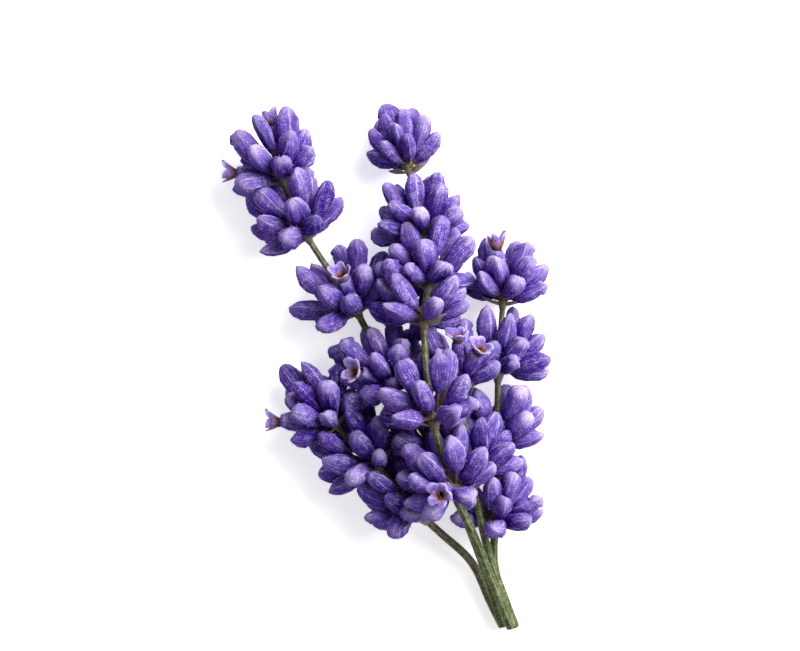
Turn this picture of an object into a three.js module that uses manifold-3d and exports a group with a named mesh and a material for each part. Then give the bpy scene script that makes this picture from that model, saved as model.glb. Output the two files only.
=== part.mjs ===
// A bunch of five lavender sprigs, laid down on a flat surface with its cut ends together.
// Each sprig is a square stem that carries whorls. A whorl is a ring of calyces (the violet buds) on short
// stalks, above a collar with a pair of papery bracts. A few calyces hold an open flower.
// Millimetres. +Y runs from the cut ends to the flower heads, +X to the right as seen from above, +Z up.
import * as THREE from 'three';
import { mergeVertices } from 'three/addons/utils/BufferGeometryUtils.js';
import Module from 'manifold-3d';

const wasm = await Module();
wasm.setup();

// ---- Driving dimensions ----

const CLEARANCE = 0.3; // gap between two pieces that touch in the real bunch
const ROUNDING = 0.001; // a gap may fall short of the clearance by this much
const FINEST = 0.1; // detail smaller than this is left out of a joined piece
const SURFACE_HEIGHT = 0; // of the surface that the bunch lies on

const BUNCH = {
  length: 86.8, // from the cut ends to the furthest whorl
  width: 43.1, // from the cut ends, across, to the outermost whorl
  lean: 0.35, // how far the stems go aside for each millimetre along, where they lie together
  together: [12, 6, 0], // distances from the cut at which their places in the bundle are set
};

const STEM = {
  cutRadius: 0.9, // at the cut end
  tipRadius: 0.6, // inside the last whorl
  sides: 8,
  steps: 20,
  groove: 0.86, // how far the middle of a flat side comes in from its corners
  pastWhorl: 2.0, // how far the stem runs on above its last whorl
  bend: 0.22, // how far it can bend aside within one whorl
};

const RING = { height: 3.0, wall: 0.8, sides: 6 }; // the disc of tissue that the calyces grow from

const CALYX = {
  length: 7.2,
  radius: 1.85,
  belly: 0.36, // place where the full width begins, as a share of the length
  shoulder: 0.8, // place where the tip begins to close
  shoulderWidth: 0.84, // width there, as a share of the full width
  mouthWidth: 0.55, // width of the open mouth of a calyx in flower
  sides: 5,
  sizeSpread: 0.12, // calyces differ by up to this share in length
};

// The calyces of a whorl, from the spreading outer ones to the upright inner ones.
// `rise` is where they leave the ring, as a share of its height.
const TIERS = [
  { count: 6, tilt: 88, stalk: 0.6, rise: 0.18 },
  { count: 6, tilt: 60, stalk: 1.2, rise: 0.5 },
  { count: 5, tilt: 30, stalk: 2.6, rise: 0.8 },
];
const TOP_TIER = { count: 1, tilt: 6, stalk: 5.0, rise: 0.8 }; // closes the top of a sprig
const TILT_SPREAD = 7;
const TURN_SPREAD = 9;

const BRACT = { length: 3.4, width: 3.4, thickness: 0.5, collarHeight: 0.7, collarWall: 0.5, tilt: 97 };

const FLOWER = {
  tubeLength: 1.0,
  tubeRadius: 0.75,
  throatRadius: 1.0,
  lobes: 5,
  lobeReach: 2.2, // from the axis to the tip of a lobe
  notch: 0.56, // reach between two lobes, as a share of that
  flare: 0.7, // how far the tips of the lobes lie above the throat
  thickness: 0.55,
  rise: 0.5, // where its calyx leaves the ring, as a share of the ring's height
  spacing: 0.4, // radians to the next calyx
};

// The sprigs, from the top of the pile down. A sprig's stem runs through the points of its path, from the
// furthest whorl on, and then through its places in the bundle, which are [across, up] in stem spacings.
// The path is in proportion: it is drawn out to the length and width of the bunch, and its heights stay.
// The first points, as many as `whorls`, are where the whorls sit. `size` scales a sprig's whorls, `spread`
// opens them, and `turn` sets off their first calyx. A flower's turn counts from the side that faces up, to
// the right, and its reach is the length of its calyx.
const SPRIGS = {
  middle: {
    whorls: 6,
    path: [
      [-19.1, 86.8, 9.6], [-16.3, 74.1, 12.4], [-15.5, 65.4, 14.8], [-16.3, 58.3, 16.6],
      [-14.6, 39.9, 20.0], [-10.9, 26.4, 17.0], [-7.8, 20.0, 13.6],
    ],
    bundle: [[-0.15, 4.1], [0, 3.1], [0.15, 2]],
    size: [0.88, 0.96, 0.98, 1, 1.02, 0.92],
    spread: [0.66, 0.95, 0.98, 1, 1, 1],
    turn: [20, 0, 30, 8, 24, 40],
    flowers: [{ whorl: 6, turn: -14, tilt: 74, reach: 7.4 }],
  },
  centre: {
    whorls: 2,
    path: [[-9.6, 45.6, 13.4], [-6.9, 29.1, 13.0], [-5.4, 20.0, 10.6]],
    bundle: [[0.4, 2.8], [0.46, 2.05], [0.5, 1]],
    size: [1, 0.96],
    spread: [0.9, 1],
    turn: [0, 30],
    flowers: [
      { whorl: 1, turn: 14, tilt: 20, reach: 7.6 },
      { whorl: 1, turn: 40, tilt: 50, reach: 7.0 },
    ],
  },
  left: {
    whorls: 5,
    path: [
      [-43.1, 84.9, 8.9], [-38.3, 74.1, 9.0], [-28.9, 60.0, 9.0], [-21.8, 45.6, 8.8],
      [-13.9, 33.6, 8.4], [-9.9, 24.6, 6.9], [-7.6, 19.0, 6.2],
    ],
    bundle: [[-0.32, 1.85], [-0.36, 1.3], [-0.5, 1]],
    size: [1, 1.08, 1.1, 1.06, 1],
    spread: [0.92, 1, 1, 1, 1],
    turn: [10, 35, 0, 28, 10],
    flowers: [
      { whorl: 1, turn: -88, tilt: 62, reach: 6.4 },
      { whorl: 1, turn: 120, tilt: 8, reach: 8.4 },
      { whorl: 3, turn: 8, tilt: 46, reach: 7.0 },
      { whorl: 4, turn: -34, tilt: 56, reach: 7.6 },
    ],
  },
  right: {
    whorls: 4,
    path: [[-1.3, 61.9, 8.6], [-2.2, 48.9, 8.8], [-2.4, 34.7, 8.8], [-2.7, 20.4, 7.4]],
    bundle: [[0.6, 0.9], [0.34, 0.25], [0.5, 0]],
    size: [0.94, 0.98, 0.96, 0.96],
    spread: [0.8, 1, 1, 1],
    turn: [15, 0, 20, 40],
    flowers: [{ whorl: 1, turn: -40, tilt: 10, reach: 8.0 }],
  },
  low: {
    whorls: 3,
    path: [[-33.0, 38.6, 8.6], [-25.1, 30.6, 8.8], [-18.0, 22.7, 8.2], [-12.0, 17.0, 5.2]],
    bundle: [[-1.15, 0.5], [-0.9, 0.12], [-0.5, 0]],
    size: [0.98, 1.04, 1],
    spread: [0.9, 1, 1],
    turn: [0, 32, 12],
    flowers: [{ whorl: 1, turn: -88, tilt: 42, reach: 8.2 }],
  },
};

// What a calyx does to find room: it closes towards its stem, turns aside, or stays short.
const CLOSING = [0, -9, -18, 8, -28, -38];
const TURNING = [0, 11, -11, 22, -22];
const SHORTENING = [1, 0.82];
const BRACT_TURNING = [0, 15, -15, 30, -30, 45, -45, 60, -60];
const BRACT_FOLDING = [0, 14];

// ---- Solids ----

const radians = THREE.MathUtils.degToRad;

// A closed three.js geometry as a manifold-3d solid.
function solidOf(geometry) {
  const bare = geometry.index ? geometry.toNonIndexed() : geometry.clone();
  const points = new THREE.BufferGeometry().setAttribute('position', bare.getAttribute('position'));
  const merged = mergeVertices(points);
  const corners = Array.from(merged.index.array);
  const triVerts = [];
  for (let i = 0; i < corners.length; i += 3) {
    const [a, b, c] = corners.slice(i, i + 3);
    if (a !== b && b !== c && c !== a) triVerts.push(a, b, c);
  }
  return new wasm.Manifold(new wasm.Mesh({
    numProp: 3,
    vertProperties: merged.attributes.position.array,
    triVerts: new Uint32Array(triVerts),
  }));
}

// A manifold-3d solid as a three.js geometry.
function geometryOf(solid) {
  const mesh = solid.getMesh();
  const points = new Float32Array(mesh.numVert * 3);
  for (let i = 0; i < mesh.numVert; i++) {
    points.set(mesh.vertProperties.subarray(i * mesh.numProp, i * mesh.numProp + 3), i * 3);
  }
  const geometry = new THREE.BufferGeometry().setAttribute('position', new THREE.BufferAttribute(points, 3));
  geometry.setIndex(new THREE.BufferAttribute(new Uint32Array(mesh.triVerts), 1));
  geometry.computeVertexNormals();
  return geometry;
}

const joined = (solids) => solids.reduce((whole, solid) => whole.add(solid));

// A lathe profile of [radius, height] pairs, turned about +Y and closed at both ends.
function turned(profile, sides) {
  return new THREE.LatheGeometry(profile.map(([r, h]) => new THREE.Vector2(r, h)), sides);
}

// Carries a geometry that stands on the origin along +Y to a point, with its +Y along a direction.
function stood(geometry, point, direction, facing) {
  const up = direction.clone().normalize();
  const side = new THREE.Vector3().crossVectors(up, facing).normalize();
  const front = new THREE.Vector3().crossVectors(side, up);
  return geometry.applyMatrix4(new THREE.Matrix4().makeBasis(side, up, front).setPosition(point));
}

// A small fixed sequence of numbers from -1 to 1, so that every build grows the same bunch.
let drawn = 7;
function vary() {
  drawn = (drawn * 16807) % 2147483647;
  return (drawn / 2147483647) * 2 - 1;
}

// ---- Room between the pieces ----

const placed = [];

function boxesApart(a, b, gap) {
  return [0, 1, 2].some((k) => a.min[k] > b.max[k] + gap || b.min[k] > a.max[k] + gap);
}

function place(owner, solid) {
  placed.push({ owner, solid, box: solid.boundingBox() });
  return solid;
}

// Whether a solid keeps its clearance from the surface below and from every other piece.
function hasRoom(owner, solid) {
  const box = solid.boundingBox();
  if (box.min[2] < SURFACE_HEIGHT) return false;
  return placed.every((other) => other.owner === owner
    || boxesApart(box, other.box, CLEARANCE)
    || solid.minGap(other.solid, CLEARANCE * 2) > CLEARANCE - ROUNDING);
}

// ---- Stems ----

// The points of a sprig's stem, in millimetres: its path, and then its places in the bundle.
function stemPoints(sprig) {
  const paths = Object.values(SPRIGS).flatMap(({ path }) => path);
  const wide = BUNCH.width / Math.max(...paths.map(([x]) => -x));
  const long = BUNCH.length / Math.max(...paths.map(([, y]) => y));
  const spacing = (2 * STEM.cutRadius + CLEARANCE) * Math.hypot(1, BUNCH.lean);
  return [
    ...sprig.path.map(([x, y, z]) => new THREE.Vector3(x * wide, y * long, z)),
    ...sprig.bundle.map(([across, up], i) => new THREE.Vector3(
      across * spacing - BUNCH.lean * BUNCH.together[i],
      BUNCH.together[i],
      SURFACE_HEIGHT + STEM.cutRadius + up * spacing,
    )),
  ];
}

// A sprig's stem curve, running from above its last whorl to the cut end.
function stemCurve(points) {
  const beyond = points[0].clone().sub(points[1]).setLength(STEM.pastWhorl);
  return new THREE.CatmullRomCurve3([points[0].clone().add(beyond), ...points], false, 'centripetal');
}

// The stem's radius at a share of its length, counted from its tip.
const stemRadius = (along) => THREE.MathUtils.lerp(STEM.tipRadius, STEM.cutRadius, along);

// A round post bent along a curve: square in section with a shallow groove along each side, and tapered.
function stemGeometry(curve) {
  const post = new THREE.CylinderGeometry(1, 1, 1, STEM.sides, STEM.steps);
  const frames = curve.computeFrenetFrames(STEM.steps, false);
  const position = post.getAttribute('position');
  for (let i = 0; i < position.count; i++) {
    const along = Math.round((0.5 - position.getY(i)) * STEM.steps);
    const around = Math.atan2(position.getZ(i), position.getX(i));
    const onAxis = Math.hypot(position.getX(i), position.getZ(i)) < 0.5;
    const corner = Math.round(around / (Math.PI / 4)) % 2 === 0;
    const reach = onAxis ? 0 : stemRadius(along / STEM.steps) * (corner ? 1 : STEM.groove);
    const at = curve.getPointAt(along / STEM.steps)
      .addScaledVector(frames.normals[along], Math.cos(around) * reach)
      .addScaledVector(frames.binormals[along], Math.sin(around) * reach);
    position.setXYZ(i, at.x, at.y, at.z);
  }
  return post;
}

// ---- Whorls ----

// The place and directions of one whorl: up along the stem, towards the side that faces up, and to the right.
// `bore` is the inside radius of a band that goes round the stem there.
function whorlFrame(curve, number) {
  const stretches = curve.points.length - 1;
  const t = number / stretches;
  const up = curve.getTangent(t).negate();
  const towards = new THREE.Vector3(0, 0, 1).addScaledVector(up, -up.z).normalize();
  const lengths = curve.getLengths(stretches * STEM.steps);
  const along = lengths[number * STEM.steps] / lengths.at(-1);
  return {
    base: curve.getPoint(t),
    up,
    towards,
    right: new THREE.Vector3().crossVectors(up, towards),
    bore: stemRadius(along) + CLEARANCE + STEM.bend,
  };
}

function outward(frame, turn) {
  return frame.towards.clone().multiplyScalar(Math.cos(radians(turn)))
    .addScaledVector(frame.right, Math.sin(radians(turn)));
}

function direction(frame, turn, tilt) {
  return frame.up.clone().multiplyScalar(Math.cos(radians(tilt)))
    .addScaledVector(outward(frame, turn), Math.sin(radians(tilt)));
}

// Where the stalk of a calyx leaves the ring.
function rootOf(frame, turn, rise) {
  return frame.base.clone()
    .addScaledVector(frame.up, RING.height * rise)
    .addScaledVector(outward(frame, turn), frame.bore + RING.wall / 2);
}

// A band round the stem, from one height above the whorl's base to another.
function bandSolid(frame, wall, from, to) {
  const inside = frame.bore / Math.cos(Math.PI / RING.sides);
  const outside = inside + wall;
  const section = [[inside, from], [outside, from], [outside, to], [inside, to], [inside, from]];
  return solidOf(stood(turned(section, RING.sides), frame.base, frame.up, frame.towards));
}

// One calyx on its stalk. `open` leaves its mouth flat, for a flower.
function calyxSolid(frame, { turn, tilt, stalk, rise, scale, open = false }) {
  const { length, radius, belly, shoulder, shoulderWidth, mouthWidth, sides } = CALYX;
  const long = length * scale;
  const wide = radius * scale;
  const body = [[0, 0], [wide, stalk + long * belly], [wide * shoulderWidth, stalk + long * shoulder]];
  const end = open ? [[wide * mouthWidth, stalk + long], [0, stalk + long]] : [[0, stalk + long]];
  const aim = direction(frame, turn, tilt);
  return solidOf(stood(turned([...body, ...end], sides), rootOf(frame, turn, rise), aim, frame.up));
}

// One papery bract, from inside its collar outwards.
function bractSolid(frame, turn, tilt, share) {
  const { length, width, thickness, collarHeight, collarWall } = BRACT;
  const long = length * share;
  const leaf = new THREE.Shape()
    .moveTo(-width * 0.28, 0)
    .lineTo(width * 0.28, 0)
    .lineTo(width / 2, long * 0.45)
    .lineTo(0, long)
    .lineTo(-width / 2, long * 0.45);
  const blade = new THREE.ExtrudeGeometry(leaf, { depth: thickness, bevelEnabled: false });
  const from = frame.base.clone()
    .addScaledVector(outward(frame, turn), frame.bore + collarWall / 2)
    .addScaledVector(frame.up, -CLEARANCE - (collarHeight + thickness) / 2);
  return solidOf(stood(blade, from, direction(frame, turn, tilt), frame.up));
}

// An open flower: a hollow tube that flares out into a star of lobes.
function flowerSolid(frame, { turn, tilt, reach }) {
  const { tubeLength, tubeRadius, throatRadius, lobes, lobeReach, notch, flare, thickness } = FLOWER;
  const profile = [[0, 0], [tubeRadius, 0], [throatRadius, tubeLength], [lobeReach, tubeLength + flare],
    [lobeReach * 0.92, tubeLength + flare + thickness], [throatRadius * 0.7, tubeLength + thickness],
    [0, tubeLength * 0.6]];
  const corolla = turned(profile, lobes * 2);
  const position = corolla.getAttribute('position');
  for (let i = 0; i < position.count; i++) {
    const corner = Math.floor(i / profile.length);
    const beyondThroat = Math.hypot(position.getX(i), position.getZ(i)) > throatRadius * 1.01;
    if (corner % 2 === 1 && beyondThroat) {
      position.setX(i, position.getX(i) * notch);
      position.setZ(i, position.getZ(i) * notch);
    }
  }
  const aim = direction(frame, turn, tilt);
  const start = rootOf(frame, turn, FLOWER.rise).addScaledVector(aim, reach + CLEARANCE);
  return solidOf(stood(corolla, start, aim, frame.up));
}

// Tries one way after another to place a piece, and returns the first that has room.
function firstWithRoom(owner, ways) {
  for (const way of ways) {
    const solid = way();
    if (hasRoom(owner, solid)) return place(owner, solid);
  }
  return null;
}

// A flower and the calyx that holds it, side by side so that each can belong to its own piece.
function growFlower(name, whorl, sprig, flower) {
  const stalk = Math.max(flower.reach - CALYX.length * sprig.size[whorl.number - 1], 0.2);
  const scale = (flower.reach - stalk) / CALYX.length;
  for (const aside of TURNING) {
    const moved = { ...flower, turn: flower.turn + aside };
    const corolla = flowerSolid(whorl.frame, moved);
    const held = calyxSolid(whorl.frame, { ...moved, stalk, rise: FLOWER.rise, scale, open: true });
    if (hasRoom(name, corolla) && hasRoom(whorl.name, held)) {
      whorl.aims.push(direction(whorl.frame, moved.turn, moved.tilt));
      whorl.solids.push(place(whorl.name, held));
      return place(name, corolla);
    }
  }
  throw new Error(`${name} is in the way of another piece`);
}

// The two bracts under a whorl and the collar where they meet round the stem.
function growBracts(name, sprig, frame, number) {
  const collar = bandSolid(frame, BRACT.collarWall, -CLEARANCE - BRACT.collarHeight, -CLEARANCE);
  if (!hasRoom(name, collar)) throw new Error(`${name} is in the way of another piece`);
  const parts = [place(name, collar)];
  for (const side of [0, 180]) {
    const turn = side + (number % 2 ? 90 : 60);
    const ways = SHORTENING.flatMap((share) => BRACT_FOLDING.flatMap((fold) => BRACT_TURNING.map(
      (aside) => () => bractSolid(frame, turn + aside, BRACT.tilt + fold, share * sprig.spread[number - 1]),
    )));
    const bract = firstWithRoom(name, ways);
    if (bract) parts.push(bract);
  }
  return joined(parts);
}

function growCalyx(name, frame, one) {
  const moved = (share, closing, aside) => () => calyxSolid(frame, {
    ...one,
    turn: one.turn + aside,
    tilt: Math.max(one.tilt + closing, 3),
    scale: one.scale * share,
  });
  const ways = SHORTENING.flatMap((share) => CLOSING.flatMap((closing) => (
    TURNING.map((aside) => moved(share, closing, aside)))));
  return firstWithRoom(name, ways);
}

// The calyces of a whorl that find room, from the spreading tier inwards.
function growCalyces({ name, number, frame, aims }, sprig) {
  const size = sprig.size[number - 1];
  const spread = sprig.spread[number - 1];
  const solids = [];
  const tiers = number === 1 ? [...TIERS, TOP_TIER] : TIERS;
  tiers.forEach(({ count, tilt, stalk, rise }, level) => {
    for (let i = 0; i < count; i++) {
      const one = {
        turn: sprig.turn[number - 1] + ((i + level / 2) * 360) / count + vary() * TURN_SPREAD,
        tilt: Math.max(tilt * spread + vary() * TILT_SPREAD, 2),
        stalk: stalk * size,
        rise,
        scale: size * (1 + vary() * CALYX.sizeSpread),
      };
      const aim = direction(frame, one.turn, one.tilt);
      const taken = aims.some((other) => other.angleTo(aim) < FLOWER.spacing);
      const calyx = taken ? null : growCalyx(name, frame, one);
      if (calyx) solids.push(calyx);
    }
  });
  return solids;
}

// ---- The bunch ----

const MATERIALS = {
  stem: new THREE.MeshStandardMaterial({ color: 0x5c6a35, roughness: 0.8, metalness: 0 }),
  calyx: new THREE.MeshStandardMaterial({ color: 0x5540a8, roughness: 0.85, metalness: 0 }),
  bract: new THREE.MeshStandardMaterial({ color: 0x7d6a4a, roughness: 0.9, metalness: 0 }),
  flower: new THREE.MeshStandardMaterial({ color: 0x8d78d6, roughness: 0.7, metalness: 0 }),
};

const bunch = new THREE.Group();

function addPiece(group, name, solid, material) {
  const mesh = new THREE.Mesh(geometryOf(solid.simplify(FINEST)), material);
  mesh.name = name;
  group.add(mesh);
}

const sprigs = Object.entries(SPRIGS).map(([name, sprig]) => {
  const curve = stemCurve(stemPoints(sprig));
  const whorls = Array.from({ length: sprig.whorls }, (_, i) => ({
    number: i + 1,
    name: `${name}_whorl_${i + 1}`,
    frame: whorlFrame(curve, i + 1),
    aims: [],
    solids: [],
  }));
  const group = new THREE.Group();
  bunch.add(group);
  return { name, sprig, group, whorls, stem: solidOf(stemGeometry(curve)) };
});

for (const { name, group, stem } of sprigs) {
  addPiece(group, `${name}_stem`, place(`${name}_stem`, stem), MATERIALS.stem);
}

// Rings, open flowers and bracts take their places first, and the calyces grow round them.
for (const { whorls } of sprigs) {
  for (const { name, frame, solids } of whorls) {
    solids.push(place(name, bandSolid(frame, RING.wall, 0, RING.height)));
  }
}
for (const { name, sprig, group, whorls } of sprigs) {
  sprig.flowers.forEach((flower, i) => {
    const piece = `${name}_flower_${i + 1}`;
    addPiece(group, piece, growFlower(piece, whorls[flower.whorl - 1], sprig, flower), MATERIALS.flower);
  });
}
for (const { name, sprig, group, whorls } of sprigs) {
  for (const { number, frame } of whorls) {
    const piece = `${name}_bracts_${number}`;
    addPiece(group, piece, growBracts(piece, sprig, frame, number), MATERIALS.bract);
  }
}
for (const { sprig, group, whorls } of sprigs) {
  for (const whorl of whorls) {
    addPiece(group, whorl.name, joined([...whorl.solids, ...growCalyces(whorl, sprig)]), MATERIALS.calyx);
  }
}

// The origin is at the middle of the bunch's outline, on the surface that it lies on.
const extent = new THREE.Box3().setFromObject(bunch);
const middle = extent.getCenter(new THREE.Vector3());
bunch.position.set(-middle.x, -middle.y, -extent.min.z);

export default bunch;
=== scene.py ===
"""Models the looks of a bunch of lavender round its CAD frame: stems, bracts, calyces, flowers and stage.

Every piece takes its place and size from the CAD nodes. A stem's centreline is read from its node, each
whorl's calyces from the tips in its node, and each flower's axis from its node. Lengths are in metres, as
in the frame, unless a comment says millimetres.
"""

import math
import random

import bpy
import numpy as np
from mathutils import Matrix, Vector


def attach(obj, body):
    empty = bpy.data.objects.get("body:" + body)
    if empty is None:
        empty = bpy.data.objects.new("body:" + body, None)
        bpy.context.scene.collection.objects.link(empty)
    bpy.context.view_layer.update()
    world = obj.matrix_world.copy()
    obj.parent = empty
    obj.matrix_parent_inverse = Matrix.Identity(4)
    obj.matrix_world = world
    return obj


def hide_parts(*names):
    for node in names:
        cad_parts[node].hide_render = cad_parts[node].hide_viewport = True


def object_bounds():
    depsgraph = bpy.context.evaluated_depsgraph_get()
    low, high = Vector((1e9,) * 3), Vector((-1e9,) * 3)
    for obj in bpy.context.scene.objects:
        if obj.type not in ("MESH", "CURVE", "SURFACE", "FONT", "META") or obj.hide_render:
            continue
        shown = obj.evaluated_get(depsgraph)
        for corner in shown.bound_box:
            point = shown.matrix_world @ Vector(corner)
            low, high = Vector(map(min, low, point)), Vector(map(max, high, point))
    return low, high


bl_info = {
    "name": "Lavender Bunch",
    "version": (1, 0, 0),
    "blender": (4, 5, 0),
    "location": "View3D > Sidebar > Lavender",
    "description": "Models a bunch of lavender sprigs round their CAD frame",
    "category": "Add Mesh",
}

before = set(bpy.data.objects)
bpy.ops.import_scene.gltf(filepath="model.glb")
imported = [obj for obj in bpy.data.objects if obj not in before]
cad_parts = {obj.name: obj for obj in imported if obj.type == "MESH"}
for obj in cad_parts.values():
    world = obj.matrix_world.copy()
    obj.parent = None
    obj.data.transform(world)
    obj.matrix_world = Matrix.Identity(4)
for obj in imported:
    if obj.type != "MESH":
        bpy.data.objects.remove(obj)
CAD_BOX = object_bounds()
MM = 0.001
BODY = "root"
SPRIGS = sorted(name[: -len("_stem")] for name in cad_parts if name.endswith("_stem"))


# ---- Sizes and colours that a user would change ----


def tint(name, description, default):
    return bpy.props.FloatVectorProperty(
        name=name, description=description, default=default, size=3, subtype="COLOR", min=0.0, max=1.0)


def amount(name, description, default, low, high, **more):
    return bpy.props.FloatProperty(
        name=name, description=description, default=default, min=low, max=high, **more)


def distance(name, description, default, low):
    return bpy.props.FloatProperty(
        name=name, description=description, default=default * MM, min=low * MM, unit="LENGTH")


class LavenderStemSettings(bpy.types.PropertyGroup):
    """How the stems look."""

    spacing: distance("Ring spacing", "Distance between two rings of a stem's mesh", 1.1, 0.3)
    hairs: amount("Hairs", "Number of fine hairs on each millimetre of a stem", 4.0, 0.0, 60.0)
    corner: amount("Corner", "How far the four corners of a stem stand out, as a share of its radius",
                   0.1, 0.0, 0.3, subtype="FACTOR")
    green: tint("Green", "Colour of the lower stem", (0.05, 0.076, 0.007))
    straw: tint("Straw", "Colour of the dry upper stem", (0.115, 0.085, 0.045))
    down: tint("Down", "Colour of the fine hairs", (0.5, 0.53, 0.36))


class LavenderCalyxSettings(bpy.types.PropertyGroup):
    """How the calyces of a whorl look."""

    longest: distance("Longest", "Greatest length of a calyx without its stalk", 8.5, 3.0)
    hairs: bpy.props.IntProperty(
        name="Hairs", description="Number of fine hairs on one calyx", default=30, min=0, max=400)
    plumpness: amount("Plumpness", "Width of a calyx, as a share of the shape it is modelled with",
                      1.0, 0.5, 1.5, subtype="FACTOR")
    deep: tint("Deep violet", "Colour in the furrows", (0.019, 0.0015, 0.14))
    violet: tint("Violet", "Colour of the sides", (0.062, 0.017, 0.285))
    # lilac is also the colour of the light and highlights painted on the calyces' faces turned to the lamp
    lilac: tint("Lilac", "Colour of the downy ribs and the tip", (0.56, 0.475, 0.69))


class LavenderBractSettings(bpy.types.PropertyGroup):
    """How the papery bracts look."""

    thickness: distance("Thickness", "Thickness of a bract", 0.16, 0.05)
    brown: tint("Brown", "Colour of the dry bracts", (0.14, 0.09, 0.05))
    vein: tint("Vein", "Colour of the veins", (0.055, 0.03, 0.02))


class LavenderFlowerSettings(bpy.types.PropertyGroup):
    """How the open flowers look."""

    thickness: distance("Thickness", "Thickness of a petal", 0.34, 0.05)
    petal: tint("Petal", "Colour of the petals", (0.16, 0.09, 0.4))
    throat: tint("Throat", "Colour inside the tube", (0.05, 0.012, 0.012))
    pollen: tint("Pollen", "Colour of the anthers", (0.24, 0.085, 0.02))


class LavenderStageSettings(bpy.types.PropertyGroup):
    """The floor, light and camera."""

    floor: tint("Floor", "Colour of the floor", (0.92, 0.92, 0.92))
    glow: amount("Glow", "How much light the floor gives of its own, as a light table does", 0.62, 0.0, 2.0)
    view_width: distance("View width", "Width that the camera sees at the middle height", 150.0, 20.0)
    aside: bpy.props.FloatVectorProperty(
        name="Aside", description="How far the camera stands from over the middle of the bunch",
        default=(2.7 * MM, 8.0 * MM), size=2, unit="LENGTH")


SETTINGS = {
    "lavender_stem": LavenderStemSettings,
    "lavender_calyx": LavenderCalyxSettings,
    "lavender_bract": LavenderBractSettings,
    "lavender_flower": LavenderFlowerSettings,
    "lavender_stage": LavenderStageSettings,
}


# ---- Reading the CAD frame ----


def solid_of(node):
    """A CAD node's corners and edges, with the corners that its triangles share merged."""
    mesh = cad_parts[node].data
    loose = np.array([v.co for v in mesh.vertices], float)
    corners, index = np.unique(np.round(loose, 7), axis=0, return_inverse=True)
    index = index.reshape(-1)
    edges = {tuple(sorted((index[e.vertices[0]], index[e.vertices[1]]))) for e in mesh.edges}
    return corners, np.array([e for e in edges if e[0] != e[1]], int)


def section_centre(corners, edges, point, along, reach):
    """The centre of the outline in which a plane cuts a solid near a point, or None past its end."""
    side = (corners - point) @ along
    crossing = edges[side[edges[:, 0]] * side[edges[:, 1]] < 0]
    a, b = corners[crossing[:, 0]], corners[crossing[:, 1]]
    share = side[crossing[:, 0]] / (side[crossing[:, 0]] - side[crossing[:, 1]])
    cuts = a + (b - a) * share[:, None]
    cuts = cuts[np.linalg.norm(cuts - point, axis=1) < reach]
    if len(cuts) < 4:
        return None
    across = np.cross(along, (0.3, 0.5, 0.8))
    upright = np.cross(along, across)
    rough = cuts.mean(axis=0)
    turn = np.arctan2((cuts - rough) @ upright, (cuts - rough) @ across)
    cuts = cuts[np.argsort(turn)]
    ahead, behind = np.roll(cuts, -1, axis=0), np.roll(cuts, 1, axis=0)
    weight = np.linalg.norm(ahead - cuts, axis=1) + np.linalg.norm(cuts - behind, axis=1)
    return (cuts * weight[:, None]).sum(axis=0) / weight.sum()


class Centreline:
    """A stem's line from its cut end to its tip, and its radius."""

    STEP = 1.0 * MM
    REACH = 2.0 * MM
    CUT_DEPTH = 1.5 * MM  # the corners of the cut face lie within this of the stem's low end
    ONWARD = (3 * MM, 9 * MM)  # corners this far off tell which way the stem leaves its cut

    def __init__(self, sprig):
        corners, edges = solid_of(f"{sprig}_stem")
        cut = corners[corners[:, 1] < corners[:, 1].min() + self.CUT_DEPTH]
        point = cut.mean(axis=0)
        away = np.linalg.norm(corners - point, axis=1)
        onward = corners[(away > self.ONWARD[0]) & (away < self.ONWARD[1])].mean(axis=0) - point
        along = onward / np.linalg.norm(onward)
        self.cut_radius = float(np.linalg.norm(cut - point, axis=1).max())
        points = [point]
        while True:
            centre = section_centre(corners, edges, point + along * self.STEP, along, self.REACH)
            if centre is None:
                break
            step = centre - point
            along = along + step / np.linalg.norm(step)
            along /= np.linalg.norm(along)
            point = centre
            points.append(point)
        last = corners[np.linalg.norm(corners - point, axis=1) < self.REACH] - point
        beyond = float((last @ along).max())
        points = np.array(points)
        for _ in range(4):  # the facets' small waves are evened out
            points[1:-1] = points[1:-1] * 0.5 + (points[:-2] + points[2:]) * 0.25
        self.points = np.vstack([points, points[-1] + along * max(beyond, 0.1 * MM)])
        near = np.linalg.norm(corners - self.points[-1], axis=1) < self.REACH
        self.tip_radius = float(np.linalg.norm(corners[near] - self.points[-1], axis=1).min())
        steps = np.linalg.norm(np.diff(self.points, axis=0), axis=1)
        self.lengths = np.concatenate([[0.0], np.cumsum(steps)])

    @property
    def length(self):
        return float(self.lengths[-1])

    def at(self, length):
        return np.array([np.interp(length, self.lengths, self.points[:, k]) for k in range(3)])

    def along(self, length):
        reach = 1.2 * MM
        step = self.at(min(length + reach, self.length)) - self.at(max(length - reach, 0.0))
        return step / np.linalg.norm(step)

    def radius(self, length):
        share = length / self.length
        return self.cut_radius + (self.tip_radius - self.cut_radius) * share

    def nearest(self, corner):
        """How far along the line a corner lies, and how far from it."""
        away = np.linalg.norm(self.points - corner, axis=1)
        i = int(away.argmin())
        return float(self.lengths[i]), float(away[i])


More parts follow.
